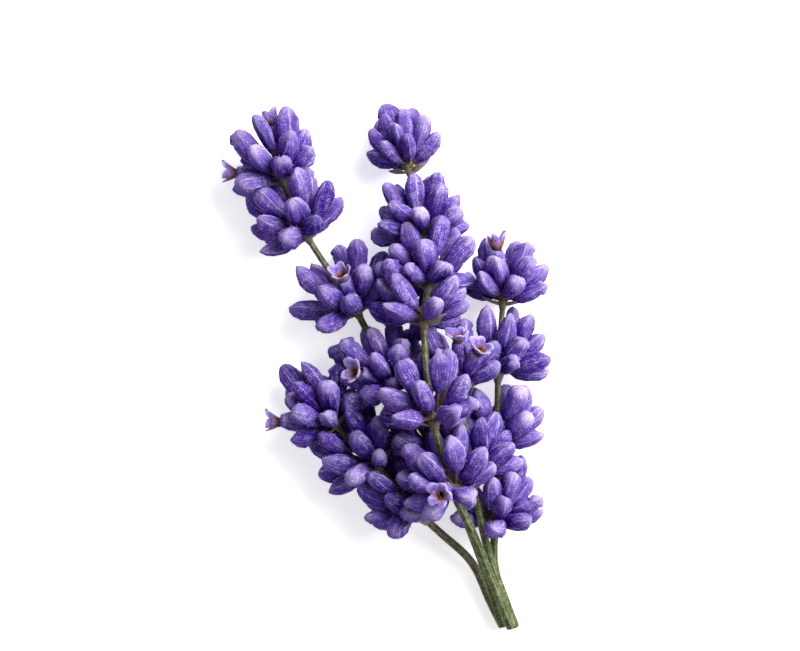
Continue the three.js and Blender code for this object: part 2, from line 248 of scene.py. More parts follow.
class Whorl:
    """The place of one whorl: its number, base, upward direction and the tips of its calyces."""

    RING_HEIGHT = 3.0 * MM
    INSIDE = 1.75 * MM  # corners nearer to the stem's line than this are the ring's bore
    SHARP = 0.6 * MM  # how far behind a calyx tip the corners next to it lie
    CLOSEST = 4.5 * MM  # a calyx tip is at least this far from the whorl's middle
    RING_WIDTH = 0.6 * MM
    TILTS, HEIGHTS = (20, 60, 90), (2.4 * MM, 1.5 * MM, 0.54 * MM)  # of a calyx, and of its root on the ring

    def __init__(self, sprig, number, line):
        self.sprig, self.number, self.line = sprig, number, line
        self.node = f"{sprig}_whorl_{number}"
        corners, edges = solid_of(self.node)
        places = [line.nearest(c) for c in corners]
        self.start = min(s for s, away in places if away < self.INSIDE)
        self.base = line.at(self.start)
        self.up = line.along(self.start + self.RING_HEIGHT / 2)
        self.middle = self.base + self.up * self.RING_HEIGHT / 2
        self.tips = self.find_tips(corners, edges)

    def find_tips(self, corners, edges):
        beside = {i: [] for i in range(len(corners))}
        for a, b in edges:
            beside[a].append(b)
            beside[b].append(a)
        tips = []
        for i, corner in enumerate(corners):
            away = corner - self.middle
            far = np.linalg.norm(away)
            if far < self.CLOSEST or not beside[i]:
                continue
            behind = (corners[beside[i]] - corner) @ (away / far)
            if behind.max() < -self.SHARP:
                tips.append(corner)
        return tips

    def outward(self, point):
        """The direction from the stem's line to a point, square to the line."""
        away = point - self.middle
        away = away - self.up * (away @ self.up)
        size = np.linalg.norm(away)
        return away / size if size > 1e-9 else np.cross(self.up, (1.0, 0.2, 0.1))

    def tilt(self, point):
        """The angle between the stem and the way from the whorl's middle to a point."""
        away = point - self.middle
        return math.acos(max(-1.0, min(1.0, float(away @ self.up) / float(np.linalg.norm(away)))))

    def root_for(self, point):
        """Where the stalk of a calyx with its tip at a point leaves the ring."""
        height = np.interp(math.degrees(self.tilt(point)), self.TILTS, self.HEIGHTS)
        ring = self.line.radius(self.start) + self.RING_WIDTH
        return self.base + self.up * height + self.outward(point) * ring


def whorls_of(sprig, line):
    numbers = sorted(int(n.rsplit("_", 1)[1]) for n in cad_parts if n.startswith(f"{sprig}_whorl_"))
    return [Whorl(sprig, number, line) for number in numbers]


LINES = {sprig: Centreline(sprig) for sprig in SPRIGS}
WHORLS = {sprig: whorls_of(sprig, LINES[sprig]) for sprig in SPRIGS}


class Bloom:
    """The place of one flower: the whorl it grows from, the foot of its tube and its axis."""

    RIM_CORNERS = 10

    def __init__(self, node):
        self.node = node
        self.sprig = node.split("_")[0]
        corners, _ = solid_of(node)
        centre = corners.mean(axis=0)
        self.whorl = min(WHORLS[self.sprig], key=lambda w: np.linalg.norm(w.middle - centre))
        foot = corners[np.argsort(np.linalg.norm(corners - self.whorl.middle, axis=1))[: self.RIM_CORNERS]]
        self.foot = foot.mean(axis=0)
        for _ in range(3):  # the foot's corners are the lowest along the axis that they give
            axis = centre - self.foot
            axis /= np.linalg.norm(axis)
            low = np.argsort((corners - self.foot) @ axis)[: self.RIM_CORNERS]
            self.foot = corners[low].mean(axis=0)
        self.axis = axis
        self.length = float(((corners - self.foot) @ axis).max())
        self.reach = float(np.linalg.norm(np.cross(corners - self.foot, axis), axis=1).max())


BLOOMS = [Bloom(node) for node in sorted(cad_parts) if "_flower_" in node]


# ---- Modelling helpers ----


def deselect_all():
    if bpy.context.mode != "OBJECT":
        bpy.ops.object.mode_set(mode="OBJECT")
    bpy.ops.object.select_all(action="DESELECT")


def select_only(*objects):
    deselect_all()
    for o in objects:
        o.select_set(True)
    bpy.context.view_layer.objects.active = objects[0]


def apply_place():
    bpy.ops.object.transform_apply(location=True, rotation=True, scale=True)


def edit_all():
    """Goes to edit mode with everything selected."""
    if bpy.context.mode != "EDIT_MESH":
        bpy.ops.object.mode_set(mode="EDIT")
    bpy.ops.mesh.select_all(action="SELECT")


def pick(obj, wanted):
    """In edit mode, selects the corners for which wanted(position) is true, and nothing else."""
    bpy.ops.mesh.select_mode(type="VERT")
    bpy.ops.mesh.select_all(action="DESELECT")
    bpy.ops.object.mode_set(mode="OBJECT")
    for v in obj.data.vertices:
        v.select = bool(wanted(v.co))
    bpy.ops.object.mode_set(mode="EDIT")


def extrude_ring(rise, grow):
    """Extrudes the selected cap along Z and scales its ring."""
    bpy.ops.mesh.extrude_region_move(TRANSFORM_OT_translate={"value": (0, 0, rise)})
    bpy.ops.transform.resize(value=(grow, grow, 1.0))


def raise_rings(rings, sides):
    """Models a closed turned shape from (height, radius) pairs by extruding a disc upwards."""
    deselect_all()
    height, radius = rings[0]
    bpy.ops.mesh.primitive_circle_add(
        vertices=sides, radius=radius, fill_type="NGON", location=(0, 0, height))
    obj = bpy.context.object
    apply_place()
    edit_all()
    for (low, was), (high, now) in zip(rings, rings[1:]):
        extrude_ring(high - low, now / was)
    return obj


def finish_mesh(obj):
    """Leaves edit mode with every face pointing outwards."""
    edit_all()
    bpy.ops.mesh.remove_doubles(threshold=1e-6)
    bpy.ops.mesh.normals_make_consistent(inside=False)
    bpy.ops.object.mode_set(mode="OBJECT")


def add_modifier(obj, kind, **values):
    modifier = obj.modifiers.new(kind.lower(), kind)
    for key, value in values.items():
        setattr(modifier, key, value)


def apply_modifiers(obj):
    select_only(obj)
    for modifier in list(obj.modifiers):
        bpy.ops.object.modifier_apply(modifier=modifier.name)


def thicken(obj, thickness):
    """Gives a sheet of faces its thickness and rounds it."""
    add_modifier(obj, "SOLIDIFY", thickness=thickness, offset=0.0)
    add_modifier(obj, "SUBSURF", levels=1, render_levels=1)
    apply_modifiers(obj)


def keep_grown(obj, scale=1.0):
    """Stores where each corner lies in the unbent shape, so that a pattern can follow the growth."""
    grown = obj.data.attributes.new("grown", "FLOAT_VECTOR", "POINT")
    for item, v in zip(grown.data, obj.data.vertices):
        item.vector = v.co * scale


def turned(rings, sides, grown=1.0):
    """A finished turned shape that knows how it has grown."""
    obj = raise_rings(rings, sides)
    finish_mesh(obj)
    keep_grown(obj, grown)
    return obj


def new_numbers(obj, name):
    return obj.data.attributes.new(name, "FLOAT", "POINT").data


def set_number(obj, name, value):
    """Stores one number for all of a copy, such as its shade, which for a calyx also holds its sprig's
    painted light.
    """
    found = obj.data.attributes.get(name)
    numbers = found.data if found else new_numbers(obj, name)
    numbers.foreach_set("value", [value] * len(obj.data.vertices))


def standing(point, along, facing, scale):
    """The matrix that stands a shape at a point, with its Z along a direction and its X facing another."""
    z = Vector(along).normalized()
    x = Vector(facing) - z * Vector(facing).dot(z)
    if x.length < 1e-6:
        x = z.orthogonal()
    x.normalize()
    turn = Matrix((x, z.cross(x), z)).transposed().to_4x4()
    return Matrix.Translation(Vector(point)) @ turn @ Matrix.Diagonal((*scale, 1.0))


def copy_at(template, matrix):
    copied = template.copy()
    copied.data = template.data.copy()
    bpy.context.scene.collection.objects.link(copied)
    copied.matrix_world = matrix
    return copied


def settle(parts, name, node):
    """Applies the parts' places, joins them into one piece and hands it to the frame."""
    select_only(*parts)
    apply_place()
    if len(parts) > 1:
        bpy.ops.object.join()
    piece = bpy.context.object
    piece.name = name
    piece.data.name = name
    bpy.ops.object.shade_smooth()
    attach(piece, BODY)
    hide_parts(node)
    return piece


def drop(*objects):
    for o in objects:
        bpy.data.objects.remove(o)


# ---- Materials ----


PAINTED_LIGHT_SIDE = (0.52, 0.46, 0.72)  # the direction of the lamp, whose light is painted into the calyces' colour on the faces turned to it
# Colours of details that the settings leave alone, among them the painted shade in the narrow gaps between
# calyces.
BRIGHT_VIOLET, PAINTED_GAP_SHADE, CALYX_FOOT = (0.11, 0.045, 0.36), (0.016, 0.0, 0.17), (0.2, 0.13, 0.045)
STEM_FURROW, PITH, PITH_DOWN = (0.012, 0.014, 0.004), (0.42, 0.44, 0.22), (0.62, 0.62, 0.42)
BRACT_PALE, BRACT_DOWN = (0.34, 0.25, 0.2), (0.5, 0.43, 0.4)
PETAL_DEEP, PETAL_RIM, PETAL_DOWN = (0.09, 0.04, 0.28), (0.62, 0.53, 0.82), (0.7, 0.62, 0.88)
PETAL_OLD, POLLEN_GRAIN, FLOOR_SHADE = (0.035, 0.02, 0.09), (0.75, 0.45, 0.16), (0.85, 0.85, 0.86)


class Nodes:
    """Builds a node tree with short calls."""

    def __init__(self, tree):
        self.tree = tree

    def add(self, kind, **values):
        node = self.tree.nodes.new(kind)
        for key, value in values.items():
            setattr(node, key, value)
        return node

    def link(self, source, target):
        self.tree.links.new(source, target)

    def put(self, socket, value):
        if isinstance(value, bpy.types.NodeSocket):
            self.link(value, socket)
        else:
            socket.default_value = value

    def math(self, operation, *values, clamp=False):
        node = self.add("ShaderNodeMath", operation=operation, use_clamp=clamp)
        for socket, value in zip(node.inputs, values):
            self.put(socket, value)
        return node.outputs[0]

    def times(self, a, b, clamp=False):
        return self.math("MULTIPLY", a, b, clamp=clamp)

    def plus(self, a, b, clamp=False):
        return self.math("ADD", a, b, clamp=clamp)

    def spread(self, value, low, high):
        """Eases a value from 0 at low to 1 at high."""
        node = self.add("ShaderNodeMapRange", interpolation_type="SMOOTHSTEP")
        for socket, x in zip(node.inputs[:5], (value, low, high, 0.0, 1.0)):
            self.put(socket, x)
        return node.outputs[0]

    def mix(self, factor, a, b):
        node = self.add("ShaderNodeMix", data_type="RGBA", blend_type="MIX")
        self.put(node.inputs[0], factor)
        for socket, value in zip(node.inputs[6:8], (a, b)):
            self.put(socket, value if isinstance(value, bpy.types.NodeSocket) else (*value, 1.0))
        return node.outputs[2]

    def noise(self, vector, scale, detail=2.0, roughness=0.5):
        node = self.add("ShaderNodeTexNoise")
        for key, value in zip(("Vector", "Scale", "Detail", "Roughness"), (vector, scale, detail, roughness)):
            self.put(node.inputs[key], value)
        return node.outputs["Fac"]

    def split(self, vector):
        node = self.add("ShaderNodeSeparateXYZ")
        self.link(vector, node.inputs[0])
        return node.outputs

    def radius(self, x, y):
        return self.math("SQRT", self.plus(self.times(x, x), self.times(y, y)))

    def painted_light_facing(self, low=-0.35, high=0.85):
        """How far a face looks towards the lamp, from 0 to 1, for light painted into a colour."""
        node = self.add("ShaderNodeVectorMath", operation="DOT_PRODUCT")
        self.link(self.add("ShaderNodeNewGeometry").outputs["Normal"], node.inputs[0])
        node.inputs[1].default_value = PAINTED_LIGHT_SIDE
        return self.spread(node.outputs["Value"], low, high)

    def painted_shade_occlusion(self, distance):
        """Ambient occlusion, from 0 in the narrow gaps between pieces to 1 where a face lies open, for shade
        painted into a colour.
        """
        node = self.add("ShaderNodeAmbientOcclusion", samples=6)
        node.inputs["Distance"].default_value = distance
        return node.outputs["AO"]

    def number(self, name):
        return self.add("ShaderNodeAttribute", attribute_name=name).outputs["Fac"]

    def grown(self):
        return self.add("ShaderNodeAttribute", attribute_name="grown").outputs["Vector"]

    def place(self, tree, **values):
        """Places a node group, gives it its inputs and returns its outputs."""
        node = self.add("ShaderNodeGroup")
        node.node_tree = tree
        for key, value in values.items():
            self.put(node.inputs[key], value)
        return node.outputs

    def bump(self, height, strength, distance, normal=None):
        node = self.add("ShaderNodeBump")
        self.put(node.inputs["Height"], height)
        node.inputs["Strength"].default_value = strength
        node.inputs["Distance"].default_value = distance
        if normal is not None:
            self.link(normal, node.inputs["Normal"])
        return node.outputs[0]


def new_group(name, inputs, outputs):
    """An empty shader node group with its named sockets, and its input and output nodes."""
    tree = bpy.data.node_groups.new(name, "ShaderNodeTree")
    for label, default in inputs.items():
        kind = "NodeSocketVector" if isinstance(default, tuple) else "NodeSocketFloat"
        tree.interface.new_socket(name=label, in_out="INPUT", socket_type=kind).default_value = default
    for label in outputs:
        tree.interface.new_socket(name=label, in_out="OUTPUT", socket_type="NodeSocketFloat")
    n = Nodes(tree)
    return n, n.add("NodeGroupInput").outputs, n.add("NodeGroupOutput").inputs


def grown_ribs_group():
    """Ribs and fine streaks that run lengthwise over an unbent shape, and change from copy to copy."""
    n, given, out = new_group(
        "Grown ribs",
        {"Grown": (0, 0, 0), "Shade": 0.5, "Ribs": 6.0, "Streaks": 9.0, "Stretch": 0.12},
        ("Rib", "Streak", "Height"))
    x, y, z = n.split(given["Grown"])
    wander = n.noise(given["Grown"], 2.2, 1.0)
    bent = n.plus(n.times(n.math("ARCTAN2", y, x), given["Ribs"]), n.times(wander, 1.6))
    wave = n.plus(n.times(n.math("COSINE", bent), 0.5), 0.5)
    near = n.math("MAXIMUM", n.radius(x, y), 0.02)
    around = n.add("ShaderNodeCombineXYZ")
    n.put(around.inputs[0], n.math("DIVIDE", x, near))
    n.put(around.inputs[1], n.math("DIVIDE", y, near))
    n.put(around.inputs[2], n.plus(n.times(z, given["Stretch"]), n.times(given["Shade"], 37.0)))
    streak = n.noise(around.outputs[0], given["Streaks"], 3.0, 0.62)
    n.put(out["Rib"], n.math("POWER", wave, 10.0))
    n.put(out["Streak"], streak)
    n.put(out["Height"], n.plus(n.times(wave, 0.5), n.times(streak, 0.6)))
    return n.tree


def down_group():
    """Short felted hairs: a pale speckle and its relief."""
    n, given, out = new_group("Down", {"Size": 5000.0}, ("Speckle", "Patch", "Height"))
    place = n.add("ShaderNodeTexCoord").outputs["Object"]
    fine = n.noise(place, given["Size"], 2.0, 0.7)
    coarse = n.noise(place, n.times(given["Size"], 0.28), 2.0, 0.6)
    patch = n.noise(place, n.times(given["Size"], 0.06), 2.0, 0.5)
    cells = n.add("ShaderNodeTexVoronoi")
    n.put(cells.inputs["Vector"], place)
    n.put(cells.inputs["Scale"], n.times(given["Size"], 1.1))
    tuft = n.times(n.spread(cells.outputs["Distance"], 0.44, 0.16), n.spread(coarse, 0.36, 0.58))
    felt = n.spread(n.plus(n.times(fine, 0.6), n.times(coarse, 0.4)), 0.46, 0.66)
    n.put(out["Speckle"], n.math("MAXIMUM", tuft, n.times(felt, 0.6)))
    n.put(out["Patch"], n.spread(patch, 0.38, 0.66))
    n.put(out["Height"], n.plus(n.times(fine, 0.3), n.plus(n.times(coarse, 0.3), n.times(tuft, 0.5))))
    return n.tree


def new_material(name, values):
    """A material, its nodes and its shader, whose sockets get their plain numbers and colours."""
    material = bpy.data.materials.new(name)
    material.use_nodes = True
    shader = material.node_tree.nodes["Principled BSDF"]
    for key, value in values.items():
        shader.inputs[key].default_value = value
    return Nodes(material.node_tree), shader.inputs


def calyx_material(ribs, down, look):
    n, shader = new_material("Calyx", {
        "Roughness": 0.78, "Specular IOR Level": 0.04, "Subsurface Weight": 0.3, "Subsurface Scale": 0.6 * MM,
        "Subsurface Radius": (0.6, 0.25, 1.0), "Sheen Weight": 0.5, "Sheen Roughness": 0.1,
        "Sheen Tint": (0.74, 0.5, 1.0, 1.0)})
    grown, shade = n.grown(), n.number("shade")
    _, _, z = n.split(grown)
    lines = n.place(ribs, Grown=grown, Shade=shade, Ribs=6.0, Streaks=6.5, Stretch=0.28)
    felt = n.place(down, Size=3600.0)
    # lit: how far a face turns to the lamp, for the painted light below
    lit = n.painted_light_facing()
    streaky = n.spread(lines["Streak"], 0.42, 0.6)
    free_of_painted_shade = n.spread(n.painted_shade_occlusion(2.2 * MM), 0.25, 0.95)
    body = n.mix(n.spread(lines["Streak"], 0.34, 0.6), look.deep, look.violet)
    # shade: the calyx's own tone about its sprig's painted lightness
    body = n.mix(n.times(shade, 0.6), body, BRIGHT_VIOLET)
    # painted shade: the narrow gaps between calyces darken to a deep violet
    body = n.mix(n.times(n.math("SUBTRACT", 1.0, free_of_painted_shade), 0.9), body, PAINTED_GAP_SHADE)
    vein = n.times(n.times(lines["Rib"], n.spread(lines["Streak"], 0.46, 0.66)), 0.5)
    tip = n.times(n.spread(z, 0.72, 1.02), n.plus(n.times(shade, 0.4), 0.1))
    frost = n.plus(n.times(felt["Patch"], 0.35), n.times(streaky, 0.75))
    frost = n.times(felt["Speckle"], n.plus(frost, 0.12))
    # painted highlight: a smooth pale bloom on the faces turned most towards the lamp
    bloom = n.times(n.times(lit, lit), n.times(shade, 0.16))
    lift = n.plus(n.plus(vein, tip), n.plus(frost, bloom))
    # painted light: the pale down, ribs and tips are brighter on the faces turned to the lamp
    lift = n.times(lift, n.plus(n.times(lit, 0.6), 0.35))
    lift = n.plus(lift, n.times(n.number("hair"), 0.7))
    # painted shade: the pale down and ribs fade in the narrow gaps between calyces
    lift = n.times(lift, n.plus(n.times(free_of_painted_shade, 0.75), 0.25), clamp=True)
    body = n.mix(lift, body, look.lilac)
    foot = n.spread(z, 0.09, -0.01)
    n.link(n.mix(n.times(foot, 0.85), body, CALYX_FOOT), shader["Base Color"])
    relief = n.bump(lines["Height"], 0.55, 0.3 * MM)
    n.link(n.bump(felt["Height"], 0.6, 0.16 * MM, relief), shader["Normal"])


def stem_material(ribs, down, look):
    n, shader = new_material("Stem", {
        "Roughness": 0.7, "Specular IOR Level": 0.15, "Sheen Weight": 0.1, "Sheen Roughness": 0.45,
        "Sheen Tint": (0.85, 0.88, 0.75, 1.0)})
    dryness = n.number("dryness")
    lines = n.place(ribs, Grown=n.grown(), Shade=dryness, Ribs=12.0, Streaks=3.4, Stretch=0.1)
    felt = n.place(down, Size=2900.0)
    turn = n.spread(n.plus(dryness, n.times(n.math("SUBTRACT", felt["Patch"], 0.5), 0.25)), 0.25, 0.75)
    body = n.mix(turn, look.green, look.straw)
    body = n.mix(n.spread(lines["Streak"], 0.38, 0.6), n.mix(0.8, body, STEM_FURROW), body)
    frost = n.times(felt["Speckle"], 0.47)
    lift = n.plus(n.times(n.spread(n.number("corner"), 0.6, 1.0), 0.2), frost)
    lift = n.plus(lift, n.times(n.number("hair"), 0.4), clamp=True)
    n.link(n.mix(lift, body, look.down), shader["Base Color"])
    relief = n.bump(lines["Height"], 0.6, 0.25 * MM)
    n.link(n.bump(felt["Height"], 0.6, 0.14 * MM, relief), shader["Normal"])


def pith_material(down, look):
    n, shader = new_material("Pith", {"Roughness": 0.85, "Specular IOR Level": 0.2})
    felt = n.place(down, Size=5200.0)
    body = n.mix(n.times(felt["Speckle"], 0.6), PITH, PITH_DOWN)
    n.link(n.mix(n.times(felt["Patch"], 0.4), body, look.green), shader["Base Color"])
    n.link(n.bump(felt["Height"], 0.6, 0.12 * MM), shader["Normal"])


def bract_material(down, look):
    n, shader = new_material("Bract", {
        "Roughness": 0.75, "Specular IOR Level": 0.3, "Sheen Weight": 0.25,
        "Sheen Tint": (0.9, 0.85, 0.8, 1.0)})
    x, _, z = n.split(n.grown())
    felt = n.place(down, Size=3200.0)
    fan = n.math("DIVIDE", x, n.plus(z, 0.25))
    veins = n.math("POWER", n.math("ABSOLUTE", n.math("COSINE", n.times(fan, 26.0))), 6.0)
    body = n.mix(n.times(veins, 0.7), look.brown, look.vein)
    body = n.mix(n.times(felt["Patch"], 0.5), body, BRACT_PALE)
    n.link(n.mix(n.times(felt["Speckle"], 0.35), body, BRACT_DOWN), shader["Base Color"])
    relief = n.bump(veins, 0.5, 0.12 * MM)
    n.link(n.bump(felt["Height"], 0.4, 0.08 * MM, relief), shader["Normal"])


def petal_material(ribs, down, look):
    n, shader = new_material("Petal", {
        "Roughness": 0.7, "Specular IOR Level": 0.25, "Sheen Weight": 0.35, "Sheen Roughness": 0.4,
        "Sheen Tint": (0.82, 0.76, 1.0, 1.0)})
    grown, shade = n.grown(), n.number("shade")
    x, y, z = n.split(grown)
    lines = n.place(ribs, Grown=grown, Shade=shade, Ribs=15.0, Streaks=3.0, Stretch=0.4)
    felt = n.place(down, Size=3800.0)
    body = n.mix(n.spread(lines["Streak"], 0.35, 0.65), PETAL_DEEP, look.petal)
    rim = n.times(n.spread(n.number("rim"), 0.35, 1.0), n.plus(n.times(felt["Patch"], 0.5), 0.35))
    body = n.mix(n.times(rim, 0.8), body, PETAL_RIM)
    body = n.mix(n.times(felt["Speckle"], 0.55), body, PETAL_DOWN)
    square = n.times(n.math("COSINE", n.times(n.math("ARCTAN2", y, x), 4.0)), 0.07)
    ragged = n.plus(square, n.times(n.math("SUBTRACT", lines["Streak"], 0.5), 0.5))
    radius = n.plus(n.radius(x, y), ragged)
    body = n.mix(n.times(n.spread(radius, 1.05, 0.86), n.spread(z, 0.2, 0.45)), body, look.pollen)
    body = n.mix(n.times(n.spread(radius, 0.84, 0.66), n.spread(z, -0.6, -0.2)), body, look.throat)
    n.link(n.mix(n.times(shade, 0.75), body, PETAL_OLD), shader["Base Color"])
    relief = n.bump(lines["Height"], 0.45, 0.15 * MM)
    n.link(n.bump(felt["Height"], 0.5, 0.12 * MM, relief), shader["Normal"])


def pollen_material(down, look):
    n, shader = new_material("Pollen", {"Roughness": 0.8})
    felt = n.place(down, Size=7000.0)
    n.link(n.mix(n.times(felt["Speckle"], 0.7), look.pollen, POLLEN_GRAIN), shader["Base Color"])
    n.link(n.bump(felt["Height"], 0.6, 0.08 * MM), shader["Normal"])


def floor_material(look):
    white = (*look.floor, 1.0)
    n, shader = new_material("Floor", {
        "Roughness": 0.9, "Specular IOR Level": 0.1, "Emission Color": white, "Emission Strength": look.glow})
    soft = n.noise(n.add("ShaderNodeTexCoord").outputs["Object"], 3.0, 2.0)
    n.link(n.mix(n.times(soft, 0.05), look.floor, FLOOR_SHADE), shader["Base Color"])


def finish_of(name):
    """A material by name, made with the others the first time that one is asked for."""
    if name not in bpy.data.materials:
        scene = bpy.context.scene
        ribs, down = grown_ribs_group(), down_group()
        calyx_material(ribs, down, scene.lavender_calyx)
        stem_material(ribs, down, scene.lavender_stem)
        pith_material(down, scene.lavender_stem)
        bract_material(down, scene.lavender_bract)
        petal_material(ribs, down, scene.lavender_flower)
        pollen_material(down, scene.lavender_flower)
    return bpy.data.materials[name]


def coat(obj, *names):
    obj.data.materials.clear()
    for name in names:
        obj.data.materials.append(finish_of(name))


def coated(name, *objects):
    for o in objects:
        coat(o, name)


# ---- Templates that are copied ----

CALYX_SIDES = 12
# (height, radius) pairs of a calyx of length 1, from the foot of its body to near its tip.
CALYX_RINGS = {
    "plump": [(0.0, 0.06), (0.08, 0.12), (0.24, 0.192), (0.48, 0.248), (0.72, 0.238), (0.89, 0.165),
              (0.97, 0.08)],
    "slim": [(0.0, 0.05), (0.09, 0.09), (0.27, 0.145), (0.52, 0.19), (0.74, 0.188), (0.9, 0.132),
             (0.97, 0.065)],
    "blunt": [(0.0, 0.06), (0.08, 0.11), (0.24, 0.175), (0.5, 0.23), (0.76, 0.245), (0.92, 0.185),
              (0.98, 0.095)],
    "pointed": [(0.0, 0.05), (0.09, 0.11), (0.26, 0.19), (0.45, 0.232), (0.66, 0.21), (0.84, 0.135),
                (0.94, 0.065)],
    "creased": [(0.0, 0.06), (0.08, 0.115), (0.24, 0.185), (0.48, 0.236), (0.72, 0.23), (0.89, 0.165),
                (0.97, 0.085)],
    "split": [(0.0, 0.055), (0.08, 0.11), (0.24, 0.18), (0.46, 0.235), (0.7, 0.24), (0.88, 0.19),
              (0.97, 0.11)],
    "budding": [(0.0, 0.06), (0.09, 0.125), (0.27, 0.19), (0.5, 0.222), (0.68, 0.205), (0.74, 0.165),
                (0.84, 0.2), (0.95, 0.13)],
    "open": [(0.0, 0.06), (0.09, 0.12), (0.27, 0.19), (0.5, 0.24), (0.74, 0.235), (0.9, 0.21), (1.0, 0.175)],
}
# How far each kind bends over its length, in degrees.
CALYX_BEND = {"plump": 14, "slim": 30, "blunt": 12, "pointed": 24, "creased": 20, "split": 16, "budding": 18,
              "open": 6}
# Folds that run lengthwise: how near the middle they reach, how many there are and where they begin. A fold
# has a raised edge on one side, and a kind that isn't named here has that edge without its fold.
CALYX_CREASES = {"pointed": (0.8, 2, 0.15), "creased": (0.7, 3, 0.12), "split": (0.58, 2, 0.3),
                 "plump": (0.88, 3, 0.4)}
STALK_FOOT = -0.1  # height and radius of the stalk's lower end
STALK_RADIUS = 0.05
MIDDLE = (0, 0, 0.5)
CALYX_HAIR = (0.055, 0.009)  # length and radius
BALD_FOOT = 0.12  # height under which a calyx has no hairs


def model_calyx(kind, hairs):
    """One calyx of length 1 on a short stalk, standing on the origin, with ribs and fine hairs."""
    rings = CALYX_RINGS[kind]
    obj = raise_rings([(STALK_FOOT, STALK_RADIUS), *rings], CALYX_SIDES)
    if kind == "open":
        extrude_ring(-0.1, 0.72)
        extrude_ring(-0.25, 0.55)
    else:
        extrude_ring(1.0 - rings[-1][0], 0.25)
        bpy.ops.mesh.merge(type="CENTER")

    def on_side(co, side):
        step = math.atan2(co.y, co.x) / (2 * math.pi / CALYX_SIDES)
        return abs(step - round(step)) < 0.1 and (round(step) - side) % CALYX_SIDES == 0

    def on_rib(co):
        return 0.05 < co.z < 0.99 and any(on_side(co, side) for side in range(0, CALYX_SIDES, 2))

    pick(obj, on_rib)
    bpy.ops.transform.resize(value=(1.05, 1.05, 1.0), center_override=MIDDLE)
    depth, creases, lowest = CALYX_CREASES.get(kind, (1.0, 1, 0.0))
    for turn in range(0, CALYX_SIDES, CALYX_SIDES // creases):
        pick(obj, lambda co, turn=turn: lowest < co.z < 0.99 and on_side(co, turn))
        bpy.ops.transform.resize(value=(depth, depth, 1.0), center_override=MIDDLE)
        pick(obj, lambda co, turn=turn: lowest + 0.1 < co.z < 0.99 and on_side(co, turn + 1))
        bpy.ops.transform.resize(value=(1.06, 1.06, 1.0), center_override=MIDDLE)
    if kind == "split":
        pick(obj, lambda co: co.z > 0.8 and co.x > 0.03)
        bpy.ops.transform.translate(value=(0.015, 0.0, -0.07))
    if kind == "budding":
        pick(obj, lambda co: co.z > 0.78 and abs(co.x) < 0.04)
        bpy.ops.transform.resize(value=(1.0, 0.62, 1.0), center_override=(0, 0, 0.9))
        pick(obj, lambda co: co.z > 0.9 and co.x > 0.0)
        bpy.ops.transform.translate(value=(0.05, 0.0, -0.06))
    if kind in ("blunt", "plump"):
        pick(obj, lambda co: co.z > 0.6 and co.y > 0.04)
        bpy.ops.transform.translate(value=(0.0, -0.012, 0.02))
    pick(obj, lambda co: co.z > 0.85)
    bpy.ops.transform.resize(value=(0.88, 1.06, 1.0), center_override=(0, 0, 0.9))
    finish_mesh(obj)
    keep_grown(obj)
    add_modifier(obj, "SIMPLE_DEFORM", deform_method="BEND", deform_axis="Y",
                 angle=math.radians(CALYX_BEND[kind]))
    apply_modifiers(obj)
    set_number(obj, "hair", 0.0)
    grow_hairs(obj, hairs, *CALYX_HAIR, BALD_FOOT, random.Random(f"hairs {kind}"))
    obj.name = f"calyx_{kind}"
    return obj


def grow_hairs(obj, count, length, radius, lowest, rng):
    """Plants fine closed hairs on a shape's faces, each leaning towards the shape's top."""
    deselect_all()
    bpy.ops.mesh.primitive_cone_add(vertices=3, radius1=radius, radius2=0.0, depth=length,
                                    location=(0, 0, length * 0.42), end_fill_type="NGON")
    hair = bpy.context.object
    apply_place()
    finish_mesh(hair)
    # Blender's own order of faces, and of a face's corners, changes from run to run.
    faces = sorted((f for f in obj.data.polygons if f.center.z > lowest), key=lambda f: sorted(f.vertices))
    grown = obj.data.attributes["grown"].data
    hairs = []
    for face in rng.choices(faces, [f.area for f in faces], k=count):
        corners = [obj.data.vertices[i] for i in sorted(face.vertices)]
        shares = [rng.random() + 0.05 for _ in corners]
        total = sum(shares)
        at, birth = Vector(), Vector()
        for v, share in zip(corners, shares):
            at += v.co * share / total
            birth += Vector(grown[v.index].vector) * share / total
        lean = Vector((rng.uniform(-0.5, 0.5), rng.uniform(-0.5, 0.5), rng.uniform(0.2, 0.8)))
        along = face.normal + lean * 0.8
        size = rng.uniform(0.6, 1.25)
        planted = copy_at(hair, standing(at, along, (1, 0.3, 0.2), (size, size, size)))
        values = planted.data.attributes.new("grown", "FLOAT_VECTOR", "POINT")
        for item in values.data:
            item.vector = birth
        set_number(planted, "hair", 1.0)
        hairs.append(planted)
    drop(hair)
    if hairs:
        select_only(obj, *hairs)
        bpy.ops.object.join()


def model_core():
    """The disc of tissue that a whorl's calyces grow from, a ring round the stem of radius 1."""
    return turned([(-0.25, 1.08), (0.1, 1.9), (0.9, 2.35), (2.2, 1.9), (3.1, 1.15)], 14, 0.2)


def model_cup():
    """The dry cup under a whorl where its bracts meet, round a stem of radius 1."""
    return turned([(-1.7, 1.04), (-1.2, 1.2), (-0.7, 1.55), (-0.25, 1.95), (-0.1, 1.7)], 16, 0.4)


BRACT_WIDTHS = (0.5, 0.82, 0.98, 1.0, 0.86, 0.62, 0.34, 0.08)  # from its foot to its tip


